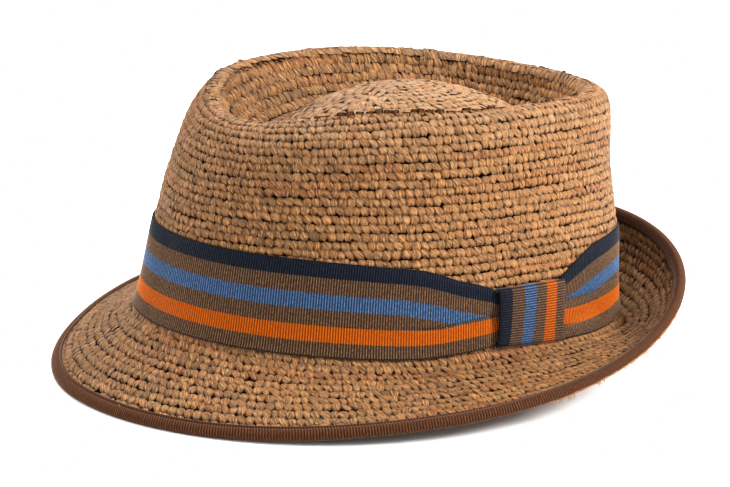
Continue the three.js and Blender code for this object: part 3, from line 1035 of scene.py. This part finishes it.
def add_fibre(points, faces, start, heading, bend, length, radius, curl):
    """One bent fibre that thins towards its end."""
    first = len(points)
    across = unit(np.cross(heading, bend) + 1e-6)
    for i in range(FIBRE_STEPS + 1):
        t = i / FIBRE_STEPS
        middle = start + heading * length * t + bend * length * curl * t ** 2
        wide = radius * (1 - 0.8 * t)
        for j in range(FIBRE_SIDES):
            turn = TURN * j / FIBRE_SIDES
            points.append(middle + (across * math.cos(turn) + bend * math.sin(turn)) * wide)
    for i in range(FIBRE_STEPS):
        for j in range(FIBRE_SIDES):
            a, b = (first + i * FIBRE_SIDES + k % FIBRE_SIDES for k in (j, j + 1))
            faces.append((a, b, b + FIBRE_SIDES, a + FIBRE_SIDES))
    last = first + FIBRE_STEPS * FIBRE_SIDES
    faces.append(tuple(range(first, first + FIBRE_SIDES))[::-1])
    faces.append(tuple(range(last, last + FIBRE_SIDES)))


def directions_at(angle, place):
    """Outward and round the hat, at one point of the face."""
    return (d[0] for d in directions(np.array([angle]), np.array([place])))


def make_fibres(size, material):
    """Short ends of raffia that stand out of the wall, the brim and under the binding."""
    rng = np.random.default_rng(size.seed + 7)
    points, faces = [], []
    for _ in range(size.fibres):
        angle = rng.uniform(0, TURN)
        place = rng.choice([rng.uniform(CREST, BAND_TOP), rng.uniform(ROOT, EDGE - 0.3),
                            rng.uniform(1, CREST)])
        out, along = directions_at(angle, place)
        side = np.cross(out, along)
        heading = unit(out * rng.uniform(0.3, 1.0) + along * rng.normal(0, 0.8)
                       + side * rng.normal(0, 0.8))
        bend = unit(along * rng.normal() + side * rng.normal() - out * 0.4)
        add_fibre(points, faces, face(angle, place) - out * 0.4 * MM, heading, bend,
                  rng.uniform(1.2, 4.5) * MM, rng.uniform(0.05, 0.11) * MM, CURL)
    low, high = (math.radians(a) for a in FRINGE_ANGLES)
    for _ in range(size.fringe):
        tuft = rng.random() < 0.3
        angle = math.radians(rng.choice(TUFT_ANGLES) + rng.normal(0, 0.5)) if tuft else (
            rng.uniform(low, high))
        normal, along = directions_at(angle, EDGE)
        outward = np.cross(along, normal)
        turn = math.radians(rng.uniform(125, 160))
        away = normal * math.cos(turn) + outward * math.sin(turn)
        start = face(angle, EDGE) - normal * RAFFIA / 2 + away * rng.uniform(1.85, 2.15) * MM
        if tuft:
            heading = unit(away + along * rng.normal(0, 0.7) + normal * rng.normal(0, 0.3))
            length = rng.uniform(0.7, 2.0) * MM
        else:
            heading = unit(along * rng.choice([-1.0, 1.0]) + away * rng.uniform(-0.02, 0.03))
            length = rng.uniform(2.5, 8.0) * MM
        bend = unit(away * 0.4 + along * rng.normal(0, 0.3) - normal * 0.2)
        add_fibre(points, faces, start, heading, bend, length, rng.uniform(0.12, 0.25) * MM,
                  CURL if tuft else FLAT_CURL)
    return add_mesh("loose_fibres", points, faces, material)


def fibre_material(size):
    """Raffia that varies slowly between warm and pale."""
    material, tree, shader = new_material("loose_raffia")
    where = add_node(tree, "ShaderNodeTexCoord").outputs["Object"]
    tint = noise(tree, where, 300.0, 2.0, 0.5)
    feed_all(tree, shader, {
        "Base Color": mix_colour(tree, tint, tuple(size.warm_colour), tuple(size.pale_colour)),
        "Roughness": map_range(tree, tint, 0.3, 0.7, 0.6, 0.4)})
    return material


# Sizes and colours

def length_property(name, description, default):
    return FloatProperty(name=name, description=description, default=default, subtype="DISTANCE",
                         unit="LENGTH", precision=5)


def number_property(name, description, default, subtype="NONE"):
    return FloatProperty(name=name, description=description, default=default, subtype=subtype)


def count_property(name, description, default):
    return IntProperty(name=name, description=description, default=default)


def colour_property(name, description, default):
    return FloatVectorProperty(name=name, description=description, default=default,
                               subtype="COLOR", size=3, min=0.0, max=1.0)


class RaffiaSizes(bpy.types.PropertyGroup):
    stitch_width: length_property("Stitch width", "Width of a stitch along its round", 0.00335)
    dome_rounds: count_property("Dome rounds", "Rounds of crochet in the dome", 17)
    dish_rounds: count_property("Dish rounds", "Rounds from the dome to the crest", 6)
    wall_rounds: count_property("Wall rounds", "Rounds from the crest to the brim", 29)
    brim_rounds: count_property("Brim rounds", "Rounds of the brim", 11)
    wall_stitches: count_property("Wall stitches", "Stitches in a round of the wall", 172)
    kinds: count_property("Stitch kinds", "Different stitches to pick from", 8)
    lean: number_property("Lean", "How far a stitch turns on the wall", 0.1, "ANGLE")
    fibres: count_property("Loose fibres", "Fibres that stand out", 220)
    fringe: count_property("Fringe", "Fibres under the binding", 230)
    seed: count_property("Seed", "Start of the random draws", 11)
    pale_colour: colour_property("Pale raffia", "The palest fibres", (0.49, 0.234, 0.08))
    dark_colour: colour_property("Dark raffia", "The darkest fibres", (0.034, 0.0102, 0.0019))
    # used both for bleached fibres and for the painted sheen on the dome and the crest
    bleached_sheen_colour: colour_property("Bleached raffia", "Fibres paled by light",
                                     (0.44, 0.285, 0.16))
    warm_colour: colour_property("Warm raffia", "Orange-brown fibres", (0.2, 0.052, 0.0075))
    # painted shade: the dark of the gaps and pores between the stitches
    gap_shade_colour: colour_property("Gap", "The raffia deep between stitches", (0.012, 0.0045, 0.0012))


class RibbonSizes(bpy.types.PropertyGroup):
    thickness: length_property("Thickness", "Thickness of the ribbon", 0.0006)
    knot_span: number_property("Knot span", "Degrees round the crown that the knot takes", 19.2)
    knot_height: length_property("Knot height", "Height of the knot up the wall", 0.0244)
    knot_rise: length_property("Knot rise", "Knot's middle above the wall's foot", 0.0118)
    knot_drop: length_property("Knot drop", "Fall of the knot towards the back", 0.0009)
    knot_shear: number_property("Knot shear", "Share of its width by which the knot leans", 0.012)
    knot_stand: length_property("Knot stand", "How far the knot stands out", 0.003)
    knot_bulge: length_property("Knot bulge", "How far its middle swells", 0.0006)
    rib_pitch: length_property("Rib pitch", "From rib to rib", 0.00103)
    rib_depth: length_property("Rib depth", "Height of a rib over its valley", 0.00026)
    navy: colour_property("Navy", "First stripe", (0.0032, 0.0055, 0.0125))
    brown: colour_property("Brown", "Second, fourth and last stripe", (0.053, 0.0268, 0.0138))
    blue: colour_property("Blue", "Third stripe", (0.025, 0.054, 0.116))
    orange: colour_property("Orange", "Fifth stripe", (0.3, 0.058, 0.001))


class BindingSizes(bpy.types.PropertyGroup):
    rib_pitch: length_property("Rib pitch", "From rib to rib", 0.00112)
    rib_depth: length_property("Rib depth", "Height of a rib over its valley", 0.0003)
    rib_slant: number_property("Rib slant", "Ribs passed for each millimetre across", 0.3)
    brown: colour_property("Brown", "Colour of the binding", (0.06, 0.0235, 0.0105))
    # the crest colour is partly the threads and partly a painted highlight on the ribs
    crest: colour_property("Rib crest", "Colour on the ribs", (0.145, 0.063, 0.03))


class StageSizes(bpy.types.PropertyGroup):
    azimuth: number_property("Azimuth", "Camera's angle round the hat in degrees", 54.82)
    elevation: number_property("Elevation", "Camera's angle up in degrees", 15.5)
    roll: number_property("Roll", "Camera's roll in degrees", 0.29)
    distance: length_property("Distance", "Camera to its target", 0.89795)
    lens: number_property("Lens", "Focal length in millimetres", 105.4)
    aside: length_property("Aside", "Target's shift along the picture", -0.00676)
    height: length_property("Height", "Target's height", 0.04104)
    sky: number_property("Sky", "Strength of the surrounding light", 0.92)
    key: number_property("Key", "Power of the main light in watts", 29.0)
    back: number_property("Back", "Power of the light behind in watts", 13.0)
    fill: number_property("Fill", "Power of the left light in watts", 5.0)


class HatSizes(bpy.types.PropertyGroup):
    raffia: PointerProperty(type=RaffiaSizes)
    ribbon: PointerProperty(type=RibbonSizes)
    binding: PointerProperty(type=BindingSizes)
    stage: PointerProperty(type=StageSizes)


def sizes():
    return bpy.context.scene.raffia_hat_sizes


# Stage

# Points of the picture's tone curve: a little more contrast, as in a studio print
TONE_POINTS = ((0.03, 0.024), (0.1, 0.09), (0.22, 0.22), (0.45, 0.485), (0.7, 0.79), (0.85, 0.94))
FLOOR_REACH = 3.0  # metres from the middle of the floor to its sides


def make_floor():
    material, tree, shader = new_material("white_floor")
    feed_all(tree, shader, {"Base Color": (0.97, 0.97, 0.965), "Roughness": 0.9,
                            "Specular IOR Level": 0.0})
    corners = [(x * FLOOR_REACH, y * FLOOR_REACH, 0)
               for x, y in ((-1, -1), (1, -1), (1, 1), (-1, 1))]
    add_mesh("floor", corners, [(0, 1, 2, 3)], material, smooth=False)


def set_surround(scene, strength):
    world = bpy.data.worlds.new("white_surround")
    world.use_nodes = True
    background = world.node_tree.nodes["Background"]
    background.inputs["Color"].default_value = (1, 1, 1, 1)
    background.inputs["Strength"].default_value = strength
    scene.world = world


def set_tone(scene):
    scene.view_settings.view_transform = "Standard"
    scene.view_settings.use_curve_mapping = True
    mapping = scene.view_settings.curve_mapping
    mapping.extend = "HORIZONTAL"
    for light_in, light_out in TONE_POINTS:
        mapping.curves[3].points.new(light_in, light_out)
    mapping.update()


def camera_directions(size):
    """Backwards, right and up for the camera, before its roll."""
    a, e = math.radians(size.azimuth), math.radians(size.elevation)
    back = Vector((math.sin(a) * math.cos(e), -math.cos(a) * math.cos(e), math.sin(e)))
    right = Vector((math.cos(a), math.sin(a), 0))
    return back, right, back.cross(right)


def place_camera(scene, size):
    back, right, up = camera_directions(size)
    roll = math.radians(size.roll)
    turn = Matrix((right * math.cos(roll) + up * math.sin(roll),
                   up * math.cos(roll) - right * math.sin(roll), back)).transposed()
    target = right * size.aside + Vector((0, -MIDDLE_Y * MM, size.height))
    camera = bpy.data.objects.new("camera", bpy.data.cameras.new("camera"))
    camera.data.lens = size.lens
    camera.data.sensor_width = 36.0
    camera.data.clip_start = 0.01
    camera.matrix_world = Matrix.Translation(target + back * size.distance) @ turn.to_4x4()
    scene.collection.objects.link(camera)
    scene.camera = camera


def place_lights(scene, size):
    """Round soft lights, each so far to the right, towards the camera and up, in metres."""
    back, right, _ = camera_directions(size)
    nearer = Vector((back.x, back.y, 0)).normalized()
    for name, aside, near_by, height, wide, power in (
            ("key_light", 1.15, 0.2, 0.75, 0.6, size.key),
            ("back_light", -0.1, -0.35, 1.0, 0.8, size.back),
            ("fill_light", -1.05, 0.15, 0.5, 0.9, size.fill)):
        light = bpy.data.lights.new(name, "AREA")
        light.shape = "DISK"
        light.size = wide
        light.energy = power
        lamp = bpy.data.objects.new(name, light)
        spot = right * aside + nearer * near_by + Vector((0, 0, height))
        lamp.location = spot
        lamp.rotation_euler = (Vector((0, 0, 0.05)) - spot).to_track_quat("-Z", "Y").to_euler()
        scene.collection.objects.link(lamp)


# Operators

UNDER_BAND = 2.6 * MM  # stitches this far inside the band's edges don't show, so none are made
UNDER_BINDING = 1.4 * MM  # the same for the brim's edge
SKIN_COLUMNS = 144  # columns of points of the skin between the stitches
SKIN_ROWS = (("crown", 0, BASE, 49), ("brim", BASE, EDGE, 25))  # from place to place, rows
SKIN_UNDER = 0.02 * MM  # how far the skin lies under the stitches' rims


class HAT_OT_crochet(bpy.types.Operator):
    """Makes the crown and the brim of crocheted raffia"""
    bl_idname = "hat.crochet"
    bl_label = "Crochet"

    def execute(self, context):
        size = sizes().raffia
        raffia, core = raffia_material(size), core_material(size)
        plan = plan_stitches(size)
        _, _, crest, base, _ = plan["anchors"]
        number, angle, place = plan["number"], plan["angle"], plan["place"]
        up = (BASE - place) * wall_height(angle)
        bottom, top = band_edges(angle, sizes().ribbon)
        covered = (number < base) & (up > bottom + UNDER_BAND) & (up < top - UNDER_BAND)
        from_edge = np.linalg.norm(face(angle, place) - face(angle, EDGE), axis=-1)
        bound = (number > base) & (from_edge < UNDER_BINDING)
        shown = ~covered & ~bound
        rng = np.random.default_rng(size.seed + 1)
        tree = crochet_tree()
        fronts = stitch_kinds("stitch", size.kinds, FRONT_GRID, STITCH_EDGE, STITCH_TOP, 1.0,
                              rng, raffia)
        backs = stitch_kinds("stitch_back", size.kinds, BACK_GRID, BACK_EDGE, BACK_TOP, 0.0,
                             rng, raffia)
        middle = (crest + base) // 2 - 3  # the round where the wall is parted into two pieces
        groups = (
            ("crown_top_stitches", (number < crest) & shown, fronts),
            ("crown_upper_stitches", (number >= crest) & (number < middle) & shown, fronts),
            ("crown_lower_stitches", (number >= middle) & (number < base) & shown, fronts),
            ("brim_stitches", (number >= base) & shown, fronts),
            ("crown_inside_stitches", number < base, backs),
            ("brim_under_stitches", (number >= base) & ~bound, backs),
        )
        for name, chosen, kinds in groups:
            piece = make_stitches(name, plan, chosen, kinds, kinds == fronts, raffia, tree, size)
            finish_piece(piece)
        remove_kinds(fronts)
        remove_kinds(backs)
        # The skins under the stitches are dark, a painted shade in the gaps between them
        for node, start, stop, rows in SKIN_ROWS:
            skin = make_shell(f"{node}_core", np.linspace(start, stop, rows),
                              STITCH_EDGE - SKIN_UNDER, BACK_EDGE + SKIN_UNDER, SKIN_COLUMNS,
                              core)
            finish_piece(skin, [node])
        return {"FINISHED"}


class HAT_OT_ribbon(bpy.types.Operator):
    """Makes the striped ribbon band and its knot"""
    bl_idname = "hat.ribbon"
    bl_label = "Ribbon band and knot"

    def execute(self, context):
        size = sizes().ribbon
        navy, brown, blue, orange = (
            tuple(c) for c in (size.navy, size.brown, size.blue, size.orange))
        colours = (navy, brown, blue, brown, orange, brown)
        # The knot's material is a darker copy of the band's, a painted shade
        band, knot = (ribbon_material(name, [shaded(colour, shade) for colour in colours],
                                      [shaded(crest, shade) for crest in STRIPE_CRESTS],
                                      tint=(1.0, 0.9, 0.8), shine=0.08, fuzz=0.26)
                      for name, shade in (("striped_ribbon_weave", 1.0),
                                          ("knot_ribbon_weave", KNOT_SHADE)))
        tree = rib_tree()
        finish_piece(make_band(size, tree, band), ["ribbon_band"])
        finish_piece(make_knot(size, tree, knot), ["ribbon_knot"])
        return {"FINISHED"}


class HAT_OT_binding(bpy.types.Operator):
    """Makes the ribbon that binds the brim's edge"""
    bl_idname = "hat.binding"
    bl_label = "Brim binding"

    def execute(self, context):
        size = sizes().binding
        material = ribbon_material("binding_ribbon_weave", (tuple(size.brown),),
                                   (tuple(size.crest),), tint=(1.0, 0.85, 0.75), shine=0.03,
                                   fuzz=0.28)
        piece = make_binding(size, rib_tree(), material)
        finish_piece(piece, ["brim_binding"])
        return {"FINISHED"}


class HAT_OT_fibres(bpy.types.Operator):
    """Makes the loose ends of raffia"""
    bl_idname = "hat.fibres"
    bl_label = "Loose fibres"

    def execute(self, context):
        size = sizes().raffia
        finish_piece(make_fibres(size, fibre_material(size)))
        return {"FINISHED"}


class HAT_OT_stage(bpy.types.Operator):
    """Makes the floor, the lights and the camera"""
    bl_idname = "hat.stage"
    bl_label = "Stage"

    def execute(self, context):
        size = sizes().stage
        make_floor()
        set_surround(context.scene, size.sky)
        set_tone(context.scene)
        place_camera(context.scene, size)
        place_lights(context.scene, size)
        return {"FINISHED"}


class HAT_PT_panel(bpy.types.Panel):
    """The hat's pieces and stage"""
    bl_idname = "HAT_PT_panel"
    bl_label = "Raffia hat"
    bl_space_type = "VIEW_3D"
    bl_region_type = "UI"
    bl_category = "Raffia hat"

    def draw(self, context):
        for operator in (HAT_OT_crochet, HAT_OT_ribbon, HAT_OT_binding, HAT_OT_fibres,
                         HAT_OT_stage):
            self.layout.operator(operator.bl_idname)
        hat = context.scene.raffia_hat_sizes
        for title, group in (("Raffia", hat.raffia), ("Ribbon", hat.ribbon),
                             ("Binding", hat.binding), ("Stage", hat.stage)):
            box = self.layout.box()
            box.label(text=title)
            for name in group.__annotations__:
                box.prop(group, name)


CLASSES = (RaffiaSizes, RibbonSizes, BindingSizes, StageSizes, HatSizes, HAT_OT_crochet,
           HAT_OT_ribbon, HAT_OT_binding, HAT_OT_fibres, HAT_OT_stage, HAT_PT_panel)


def register():
    for cls in CLASSES:
        bpy.utils.register_class(cls)
    bpy.types.Scene.raffia_hat_sizes = PointerProperty(type=HatSizes)


def unregister():
    del bpy.types.Scene.raffia_hat_sizes
    for cls in reversed(CLASSES):
        bpy.utils.unregister_class(cls)


def main():
    register()
    bpy.ops.hat.crochet()
    bpy.ops.hat.ribbon()
    bpy.ops.hat.binding()
    bpy.ops.hat.fibres()
    bpy.ops.hat.stage()


if __name__ == "__main__":
    main()
